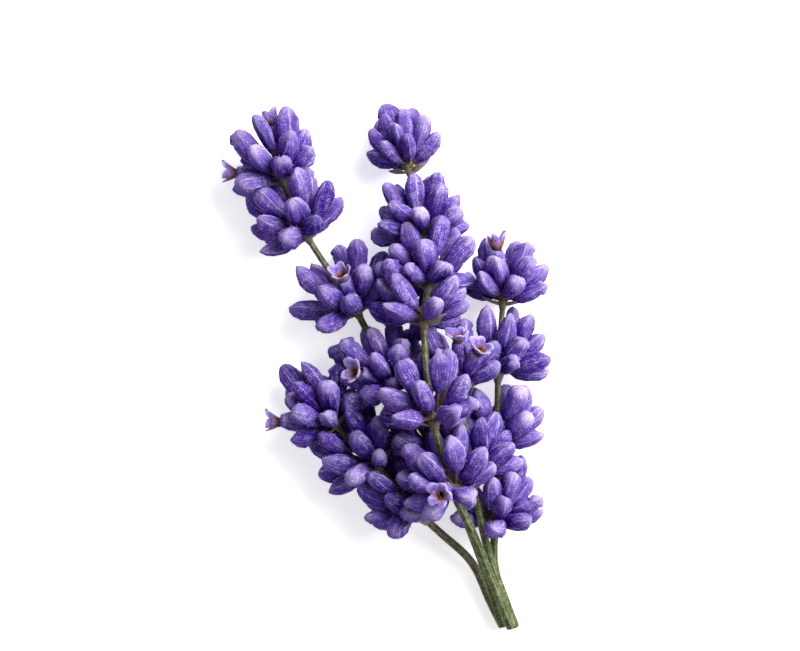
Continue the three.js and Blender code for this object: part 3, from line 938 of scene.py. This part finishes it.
def model_bract():
    """One papery bract of length 1, growing along Z from the origin, hollow on its +X side."""
    deselect_all()
    rows = len(BRACT_WIDTHS) - 1
    bpy.ops.mesh.primitive_grid_add(x_subdivisions=6, y_subdivisions=rows, size=1.0, location=(0, 0, 0.5),
                                    rotation=(math.radians(90), 0, math.radians(90)))
    obj = bpy.context.object
    apply_place()
    bpy.ops.object.mode_set(mode="EDIT")
    for row, width in enumerate(BRACT_WIDTHS):
        pick(obj, lambda co, row=row: abs(co.z - row / rows) < 0.03)
        bpy.ops.transform.resize(value=(1.0, width, 1.0), center_override=(0, 0, row / rows))
    bpy.ops.object.mode_set(mode="OBJECT")
    grown = obj.data.attributes.new("grown", "FLOAT_VECTOR", "POINT")
    for item, v in zip(grown.data, obj.data.vertices):
        item.vector = (v.co.y, 0.0, v.co.z)
    add_modifier(obj, "SIMPLE_DEFORM", deform_method="BEND", deform_axis="Z", angle=math.radians(85))
    add_modifier(obj, "SIMPLE_DEFORM", deform_method="BEND", deform_axis="Y", angle=math.radians(35))
    apply_modifiers(obj)
    return obj


LOBES = 5
LOBE_STEPS = 6  # corners of the rim on one lobe
# (height, radius) pairs of the tube, the throat and the spreading lobes, in millimetres.
COROLLA_RINGS = [(-0.9, 0.5), (0.0, 0.56), (0.5, 0.68), (0.8, 0.86), (1.02, 1.15), (1.22, 1.5),
                 (1.32, 1.85), (1.28, 2.15), (1.08, 2.35)]
WIDEST = COROLLA_RINGS[-1][1]
LOBE_START = 0.9  # reach at which the lobes part
# How far the rim reaches at each corner of a lobe, from one notch to the next.
LOBE_REACH = [0.5, 0.86, 0.99, 1.02, 0.99, 0.86]
LOBE_DOME = [-0.55, -0.04, 0.2, 0.28, 0.2, -0.04]  # and how far it rises there
LOBE_SIZE = [1.14, 0.9, 0.84, 0.88, 0.96]  # the lobes differ, and the upper one is the largest


def model_corolla(opening):
    """One flower: a tube that widens to a throat and spreads into five rounded lobes. Millimetres."""
    sides = LOBES * LOBE_STEPS
    low, first = COROLLA_RINGS[0]
    deselect_all()
    bpy.ops.mesh.primitive_circle_add(
        vertices=sides, radius=first, fill_type="NOTHING", location=(0, 0, low))
    obj = bpy.context.object
    apply_place()
    edit_all()
    for (low, was), (high, now) in zip(COROLLA_RINGS, COROLLA_RINGS[1:]):
        bpy.ops.mesh.extrude_edges_move(TRANSFORM_OT_translate={"value": (0, 0, high - low)})
        bpy.ops.transform.resize(value=(now / was, now / was, 1.0), center_override=(0, 0, high))
    finish_mesh(obj)
    rim = new_numbers(obj, "rim")
    for i, v in enumerate(obj.data.vertices):
        radius = math.hypot(v.co.x, v.co.y)
        if radius < LOBE_START:
            continue
        step = round(math.atan2(v.co.y, v.co.x) / (2 * math.pi / sides)) % sides
        lobe, place = divmod(step, LOBE_STEPS)
        share = (radius - LOBE_START) / (WIDEST - LOBE_START)
        size = LOBE_SIZE[lobe] if place else 1.0
        keep = 1 + (LOBE_REACH[place] * size - 1) * min(1.0, share * 1.15)
        spread = (LOBE_START + (radius - LOBE_START) * (0.2 + 0.8 * opening)) / radius
        v.co.x *= keep * spread
        v.co.y *= keep * spread
        v.co.z += (1.0 - opening) * (radius - LOBE_START) * 1.7 * keep
        v.co.z += (LOBE_DOME[place] + 0.1 * math.sin(2.3 * step)) * share
        rim[i].value = share if place else min(1.0, share + 0.3)
    keep_grown(obj)
    return obj


# ---- The pieces ----


DRY_FROM_CUT = {"low": 0.62, "right": 0.2, "centre": 0.1}  # how dry a stem is already at its cut end
DRYING = 6 * MM  # how far to each side of its first whorl a stem turns from green to dry
STEM_SIDES = 16
STEM_HAIR = (0.32 * MM, 0.03 * MM)  # length and radius


def model_stem(sprig, look):
    """A square downy stem along its CAD centreline, from its cut face to its tip."""
    line = LINES[sprig]
    count = max(12, int(line.length / look.spacing))
    stations = [line.length * i / count for i in range(count + 1)]
    deselect_all()
    bpy.ops.mesh.primitive_circle_add(vertices=STEM_SIDES, radius=1.0, fill_type="NGON", location=(0, 0, 0))
    obj = bpy.context.object
    edit_all()
    for _ in range(count):
        bpy.ops.mesh.extrude_region_move(TRANSFORM_OT_translate={"value": (0, 0, 1.0)})
    finish_mesh(obj)
    bpy.ops.object.mode_set(mode="EDIT")
    pick(obj, lambda co: co.z < 0.5)
    bpy.ops.mesh.select_mode(type="FACE")
    bpy.ops.mesh.inset(thickness=0.3)
    bpy.ops.object.mode_set(mode="OBJECT")
    grown = obj.data.attributes.new("grown", "FLOAT_VECTOR", "POINT")
    dryness = obj.data.attributes.new("dryness", "FLOAT", "POINT")
    corner = obj.data.attributes.new("corner", "FLOAT", "POINT")
    facing = Vector((0.2, 0.1, 1.0))
    turns = []
    for s in stations:
        z = Vector(line.along(s))
        facing = (facing - z * facing.dot(z)).normalized()
        turns.append((Vector(line.at(s)), facing, z.cross(facing)))
    first_whorl = min(w.start for w in WHORLS[sprig])
    for i, v in enumerate(obj.data.vertices):
        step = min(count, max(0, round(v.co.z)))
        at, x, y = turns[step]
        length = stations[step]
        turn = math.atan2(v.co.y, v.co.x)
        ribbed = 1.0 + look.corner * 0.5 * (math.cos(4 * turn) - 1.0) + 0.022 * math.cos(8 * turn)
        swell = 1.0 + 0.02 * math.sin(length / MM * 0.7 + turn)
        radius = line.radius(length) * ribbed * swell * math.hypot(v.co.x, v.co.y)
        grown.data[i].vector = (math.cos(turn), math.sin(turn), length / MM)
        corner.data[i].value = 0.5 + 0.5 * math.cos(4 * turn)
        dry = (length - first_whorl + DRYING) / (2 * DRYING)
        dryness.data[i].value = max(DRY_FROM_CUT.get(sprig, 0.0), min(1.0, dry))
        v.co = at + (x * math.cos(turn) + y * math.sin(turn)) * radius
    set_number(obj, "hair", 0.0)
    grow_hairs(obj, int(line.length / MM * look.hairs), *STEM_HAIR, -1.0, random.Random(f"down {sprig}"))
    for name in ("dryness", "corner"):
        fill_from_birth(obj, name)
    coat(obj, "Stem", "Pith")
    cut = Vector(line.points[0])
    cap = min(obj.data.polygons, key=lambda f: (f.center - cut).length - len(f.vertices) * MM)
    cap.material_index = 1
    return settle([obj], f"stem_{sprig}", f"{sprig}_stem")


def fill_from_birth(obj, name):
    """Gives hairs the number that their stem has where they stand."""
    grown = obj.data.attributes["grown"].data
    hair = obj.data.attributes["hair"].data
    values = obj.data.attributes[name].data
    known = {}
    for i, item in enumerate(grown):
        if hair[i].value < 0.5:
            known.setdefault(round(item.vector[2] / 2), []).append(values[i].value)
    for i, item in enumerate(grown):
        if hair[i].value > 0.5:
            near = known.get(round(item.vector[2] / 2)) or [0.5]
            values[i].value = sum(near) / len(near)


SOFT = 0.7 * MM  # height under which a calyx gives way to the surface it lies on
GROWTH = 1.07  # how far past its CAD tip a calyx reaches from the middle of its whorl


def choose_kind(rng, tilt):
    """Which calyx shape to copy: plump ones spread, and slim ones stand in the middle."""
    if tilt < 35:
        return rng.choice(["slim", "split", "creased", "budding", "pointed"])
    return rng.choice(["plump", "blunt", "pointed", "creased", "slim", "split", "creased", "budding"])


# How light the calyces of a sprig are, from 0, dark and deep, to 1, pale. This is painted light: the right
# sprig, on the lamp's side, is paler and the low sprig is darker.
SPRIG_TONE_AND_PAINTED_LIGHT = {"right": 0.68, "middle": 0.5, "centre": 0.46, "left": 0.48, "low": 0.26}


def calyx_at(templates, kind, root, tip, up, look, tone_and_painted_light, rng):
    """Copies a calyx so that its tip is at a point, and its stalk reaches its root."""
    along = Vector(tip) - Vector(root)
    reach = along.length
    length = min(reach * 0.94, look.longest)
    foot = Vector(tip) - along.normalized() * length
    wide = length * look.plumpness * rng.uniform(0.9, 1.08)
    facing = Vector(up) + Vector([rng.uniform(-0.3, 0.3) for _ in range(3)])
    sizes = (wide, wide * rng.uniform(0.9, 1.08), length)
    copied = copy_at(templates[kind], standing(foot, along, facing, sizes))
    deeper = -(reach - length) / length - 0.04
    for v in copied.data.vertices:
        if v.co.z < STALK_FOOT * 0.5:
            v.co.z = deeper
    warp(copied, rng)
    # each calyx's own tone strays at random from its sprig's painted lightness
    set_number(copied, "shade", max(0.0, min(1.0, rng.gauss(tone_and_painted_light, 0.24))))
    return copied


def warp(calyx, rng):
    """Swells and pinches a copied calyx a little, so that no two are alike."""
    a, b, c = (rng.uniform(0, 2 * math.pi) for _ in range(3))
    lean = rng.uniform(-0.05, 0.05)
    for v in calyx.data.vertices:
        x, y, z = v.co
        around = math.atan2(y, x)
        swell = 1 + 0.06 * math.sin(a + 6.5 * z) + 0.07 * math.sin(b + 2 * around + 3 * z)
        swell += 0.05 * math.sin(c + 3 * around - 5 * z)
        v.co = (x * swell + lean * z * z, y * swell, z)


SPINE = np.linspace(0.3, 0.86, 5)  # where along a calyx its room is measured, as shares from root to tip


class Room:
    """The calyces, flowers and stems that a further calyx must keep clear of."""

    APART = 2.45 * MM  # between the spines of two calyces that press against each other
    FROM_STEM = 2.1 * MM
    FROM_FLOWER = 3.6 * MM
    OVER_FLOOR = 1.7 * MM

    def __init__(self):
        self.spines = []
        for whorls in WHORLS.values():
            for whorl in whorls:
                for tip in whorl.tips:
                    self.add(whorl.root_for(tip), tip)
        for bloom in BLOOMS:
            self.add(bloom.foot - bloom.axis * 6 * MM, bloom.foot)
        self.flowers = np.array([b.foot + b.axis * k * MM for b in BLOOMS for k in (1.0, 3.0, 5.0, 7.0)])
        self.stems = np.vstack([line.points for line in LINES.values()])

    def add(self, root, tip):
        self.spines.append(root + (tip - root) * SPINE[:, None])

    def holds(self, root, tip):
        spine = root + (tip - root) * SPINE[:, None]
        if spine[:, 2].min() < self.OVER_FLOOR or tip[2] < self.OVER_FLOOR * 0.8:
            return False
        others = np.vstack(self.spines)
        if np.linalg.norm(spine[:, None] - others[None], axis=2).min() < self.APART:
            return False
        if np.linalg.norm(spine[:, None] - self.flowers[None], axis=2).min() < self.FROM_FLOWER:
            return False
        return np.linalg.norm(spine[1:, None] - self.stems[None], axis=2).min() > self.FROM_STEM


FURTHER_TRIES = 120  # for each length of a further calyx
FURTHER_REACH = (8.4, 7.6, 6.8, 5.8)  # those lengths, the longest first, in millimetres
FURTHER_TILT = (18, 112)  # the least and greatest tilt of a further calyx off its stem, in degrees
TOP_TILT = 84  # the greatest tilt in a sprig's top whorl
# The whorls that press together, and so fill every gap.
CROWDED = {("low", 1), ("low", 2), ("low", 3), ("centre", 1), ("centre", 2), ("left", 4), ("left", 5),
           ("middle", 6)}


def further_tips(whorl, room, rng):
    """Tips for more calyces in the gaps between those of the CAD node."""
    tips = []
    if (whorl.sprig, whorl.number) not in CROWDED:
        return tips
    low, high = FURTHER_TILT
    side = Vector(whorl.outward(whorl.middle + np.array([0.3, 0.2, 1.0]) * MM))
    up = Vector(whorl.up)
    for reach in FURTHER_REACH:
        for _ in range(FURTHER_TRIES):
            tilt = math.radians(rng.uniform(low, TOP_TILT if whorl.number == 1 else high))
            turned_side = Matrix.Rotation(rng.uniform(0, 2 * math.pi), 3, up) @ side
            way = np.array(up * math.cos(tilt) + turned_side * math.sin(tilt))
            tip = whorl.middle + way * (reach + 1.2) * MM
            root = whorl.root_for(tip)
            if inside_box(tip) and room.holds(root, tip):
                room.add(root, tip)
                tips.append(tip)
    return tips


def inside_box(point):
    low, high = np.array(CAD_BOX[0]), np.array(CAD_BOX[1])
    return bool((point > low + 0.2 * MM).all() and (point < high + 1.0 * MM).all())


def model_whorl(whorl, templates, look, room):
    """The calyces of one whorl and the tissue that they grow from."""
    rng = random.Random(f"{whorl.sprig} {whorl.number}")
    tone_and_painted_light = SPRIG_TONE_AND_PAINTED_LIGHT[whorl.sprig]
    parts = []
    for tip in [*whorl.tips, *further_tips(whorl, room, rng)]:
        tip = whorl.middle + (tip - whorl.middle) * GROWTH
        kind = choose_kind(rng, math.degrees(whorl.tilt(tip)))
        parts.append(calyx_at(templates, kind, whorl.root_for(tip), tip, whorl.up, look, tone_and_painted_light, rng))
    for bloom in BLOOMS:
        if bloom.whorl is whorl:
            mouth = bloom.foot - bloom.axis * 0.1 * MM
            reach = float(np.linalg.norm(bloom.foot - whorl.middle))
            root = bloom.foot - bloom.axis * max(reach - 1.5 * MM, 3 * MM)
            parts.append(calyx_at(templates, "open", root, mouth, whorl.up, look, tone_and_painted_light, rng))
    coated("Calyx", *parts)
    radius = whorl.line.radius(whorl.start)
    core = copy_at(templates["core"], standing(whorl.base, whorl.up, (0, 0, 1), (radius, radius, MM)))
    set_number(core, "shade", 0.1)
    set_number(core, "dryness", 1.0)
    coat(core, "Stem")
    parts.append(core)
    return press_on_floor(settle(parts, f"calyces_{whorl.sprig}_{whorl.number}", whorl.node))


def press_on_floor(obj):
    """Flattens softly what would reach through the surface that the bunch lies on."""
    for v in obj.data.vertices:
        if v.co.z < SOFT:
            v.co.z = SOFT * math.exp((v.co.z - SOFT) / SOFT)
    return obj


SHORTEST_BRACT = 2.6 * MM  # from the stem's line to its tip
BRACT_WIDTH = 4.4 * MM


def bract_tips(whorl):
    """The outer end of each bract of a whorl, read from the CAD node."""
    corners, _ = solid_of(f"{whorl.sprig}_bracts_{whorl.number}")
    away = corners - whorl.base
    level = away - np.outer(away @ whorl.up, whorl.up)
    reach = np.linalg.norm(level, axis=1)
    first = int(reach.argmax())
    other_way = level @ level[first] < 0.3 * reach * reach[first]
    other = np.flatnonzero(other_way & (reach > SHORTEST_BRACT))
    return [corners[first], *(corners[i] for i in other[reach[other].argsort()[::-1]][:1])]


def model_bracts(whorl, templates, look):
    """The two papery bracts under a whorl and the cup that they grow from."""
    rng = random.Random(f"bracts {whorl.sprig} {whorl.number}")
    radius = whorl.line.radius(whorl.start)
    parts = []
    for tip in bract_tips(whorl):
        away = Vector(whorl.outward(tip))
        up = Vector(whorl.up)
        root = Vector(whorl.base) - up * 0.75 * MM + away * (radius + 0.05 * MM)
        along = Vector(tip) - root
        along = (along.normalized() + up * 0.12).normalized() * along.length
        scale = (along.length, BRACT_WIDTH * rng.uniform(0.85, 1.1), along.length * 1.15)
        blade = copy_at(templates["bract"], standing(root, along, up, scale))
        select_only(blade)
        apply_place()
        thicken(blade, look.thickness)
        parts.append(blade)
    flare, drop_by = CUPS.get((whorl.sprig, whorl.number), (1.0, 1.0))
    cup_size = (radius * flare, radius * flare, MM * drop_by)
    cup = copy_at(templates["cup"], standing(whorl.base, whorl.up, (0, 0, 1), cup_size))
    for v in cup.data.vertices:
        if v.co.z < -1.6:  # its edge at the stem
            v.co.x, v.co.y = v.co.x / flare, v.co.y / flare
    parts.append(cup)
    coated("Bract", *parts)
    node = f"{whorl.sprig}_bracts_{whorl.number}"
    return settle(parts, f"bracts_{whorl.sprig}_{whorl.number}", node)


# The larger dry cups: how much wider and deeper than the others they are.
CUPS = {("low", 3): (1.35, 2.3), ("centre", 2): (1.2, 1.5), ("right", 2): (1.2, 1.5),
        ("middle", 2): (1.1, 1.3)}


def model_flower(bloom, number, look):
    """One open flower with its anthers in the throat."""
    rng = random.Random(f"flower {bloom.node}")
    opening, shade, size = BLOOM_LOOKS.get(bloom.node, (1.0, 0.0, 1.24))
    corolla = model_corolla(opening)
    set_number(corolla, "shade", shade)
    scale = bloom.reach * size / WIDEST
    matrix = standing(bloom.foot, bloom.axis, whorl_up(bloom, rng), (scale, scale, MM))
    corolla.matrix_world = matrix
    select_only(corolla)
    apply_place()
    thicken(corolla, look.thickness)
    coat(corolla, "Petal")
    parts = [corolla]
    for turn in (40, 150, 260):
        anther = turned([(0.0, 0.06), (0.2, 0.13), (0.36, 0.15), (0.5, 0.12), (0.58, 0.05)], 8)
        aside = Matrix.Translation((0.4, 0, rng.uniform(-0.25, 0.0)))
        anther.matrix_world = matrix @ Matrix.Rotation(math.radians(turn), 4, "Z") @ aside
        coat(anther, "Pollen")
        parts.append(anther)
    return settle(parts, f"flower_{bloom.sprig}_{number}", bloom.node)


def whorl_up(bloom, rng):
    return Vector(bloom.whorl.up) + Vector((rng.uniform(-0.4, 0.4), rng.uniform(-0.4, 0.4), 0.1))


# For each flower: how far it is open, how dark it has become, and its width against the CAD node's.
BLOOM_LOOKS = {
    "middle_flower_1": (0.92, 0.0, 1.3),
    "centre_flower_1": (0.8, 0.12, 1.3),
    "centre_flower_2": (0.75, 0.18, 1.35),
    "left_flower_1": (0.5, 0.55, 1.4),
    "left_flower_2": (0.3, 0.1, 1.5),
    "left_flower_3": (0.5, 0.0, 1.4),
    "left_flower_4": (0.72, 0.25, 1.45),
    "right_flower_1": (0.25, 0.0, 1.5),
    "low_flower_1": (0.5, 0.4, 1.4),
}


class LAVENDER_OT_stems(bpy.types.Operator):
    """Model the five stems along their CAD centrelines"""

    bl_idname = "lavender.stems"
    bl_label = "Stems"

    def execute(self, context):
        for sprig in SPRIGS:
            model_stem(sprig, context.scene.lavender_stem)
        return {"FINISHED"}


class LAVENDER_OT_bracts(bpy.types.Operator):
    """Model the papery bracts under every whorl"""

    bl_idname = "lavender.bracts"
    bl_label = "Bracts"

    def execute(self, context):
        templates = {"bract": model_bract(), "cup": model_cup()}
        for sprig in SPRIGS:
            for whorl in WHORLS[sprig]:
                model_bracts(whorl, templates, context.scene.lavender_bract)
        drop(*templates.values())
        return {"FINISHED"}


class LAVENDER_OT_calyces(bpy.types.Operator):
    """Model the calyces of every whorl"""

    bl_idname = "lavender.calyces"
    bl_label = "Calyces"

    def execute(self, context):
        look = context.scene.lavender_calyx
        templates = {kind: model_calyx(kind, look.hairs) for kind in CALYX_RINGS}
        templates["core"] = model_core()
        room = Room()
        for sprig in SPRIGS:
            for whorl in WHORLS[sprig]:
                if len(whorl.tips) < 4:
                    raise RuntimeError(f"{whorl.node} shows only {len(whorl.tips)} calyx tips")
                model_whorl(whorl, templates, look, room)
        drop(*templates.values())
        return {"FINISHED"}


class LAVENDER_OT_flowers(bpy.types.Operator):
    """Model the open flowers"""

    bl_idname = "lavender.flowers"
    bl_label = "Flowers"

    def execute(self, context):
        for bloom in BLOOMS:
            model_flower(bloom, int(bloom.node.rsplit("_", 1)[1]), context.scene.lavender_flower)
        return {"FINISHED"}


FLOOR_SIZE, FLOOR_HEIGHT = 4.0, -0.2 * MM
SKY_STRENGTH = 0.37
KEY_PLACE, KEY_SIZE, KEY_POWER = Vector((0.4, 0.34, 0.5)), 0.6, 12.5  # the place is from the bunch's middle
CAMERA_AWAY, SENSOR_WIDTH = 0.7, 36.0


class LAVENDER_OT_stage(bpy.types.Operator):
    """Add the floor, the studio light and the camera"""

    bl_idname = "lavender.stage"
    bl_label = "Stage"

    def execute(self, context):
        look = context.scene.lavender_stage
        deselect_all()
        bpy.ops.mesh.primitive_plane_add(size=FLOOR_SIZE, location=(0, 0, FLOOR_HEIGHT))
        floor = context.object
        floor.name = "floor"
        floor_material(look)
        floor.data.materials.append(bpy.data.materials["Floor"])

        world = bpy.data.worlds.new("Studio")
        world.use_nodes = True
        sky = world.node_tree.nodes["Background"].inputs
        sky["Color"].default_value, sky["Strength"].default_value = (1.0, 1.0, 1.0, 1.0), SKY_STRENGTH
        context.scene.world = world
        context.scene.view_settings.view_transform = "Standard"

        middle = (CAD_BOX[0] + CAD_BOX[1]) / 2
        bpy.ops.object.light_add(type="AREA", location=middle + KEY_PLACE)
        lamp = context.object
        lamp.name = "key"
        lamp.data.size, lamp.data.energy = KEY_SIZE, KEY_POWER
        lamp.rotation_euler = (-KEY_PLACE).to_track_quat("-Z", "Y").to_euler()

        bpy.ops.object.camera_add(location=(*look.aside, middle.z + CAMERA_AWAY))
        camera = context.object
        camera.rotation_euler = (0, 0, 0)
        camera.data.sensor_width = SENSOR_WIDTH
        camera.data.lens = SENSOR_WIDTH * CAMERA_AWAY / look.view_width
        camera.data.clip_start, camera.data.clip_end = 0.01, 10.0
        context.scene.camera = camera
        return {"FINISHED"}


OPERATORS = (
    LAVENDER_OT_stems, LAVENDER_OT_bracts, LAVENDER_OT_calyces, LAVENDER_OT_flowers, LAVENDER_OT_stage,
)


class LAVENDER_PT_panel(bpy.types.Panel):
    """Lists the sizes, colours and steps of the bunch"""

    bl_idname = "LAVENDER_PT_panel"
    bl_label = "Lavender bunch"
    bl_space_type = "VIEW_3D"
    bl_region_type = "UI"
    bl_category = "Lavender"

    def draw(self, context):
        for name, kind in SETTINGS.items():
            box = self.layout.box()
            box.label(text=kind.__doc__)
            for key in kind.__annotations__:
                box.prop(getattr(context.scene, name), key)
        for operator in OPERATORS:
            self.layout.operator(operator.bl_idname)


def register():
    for name, kind in SETTINGS.items():
        bpy.utils.register_class(kind)
        setattr(bpy.types.Scene, name, bpy.props.PointerProperty(type=kind))
    for kind in (*OPERATORS, LAVENDER_PT_panel):
        bpy.utils.register_class(kind)


def unregister():
    for kind in (LAVENDER_PT_panel, *reversed(OPERATORS)):
        bpy.utils.unregister_class(kind)
    for name, kind in reversed(SETTINGS.items()):
        delattr(bpy.types.Scene, name)
        bpy.utils.unregister_class(kind)


def main():
    register()
    bpy.ops.lavender.stage()
    bpy.ops.lavender.stems()
    bpy.ops.lavender.bracts()
    bpy.ops.lavender.calyces()
    bpy.ops.lavender.flowers()


if __name__ == "__main__":
    main()
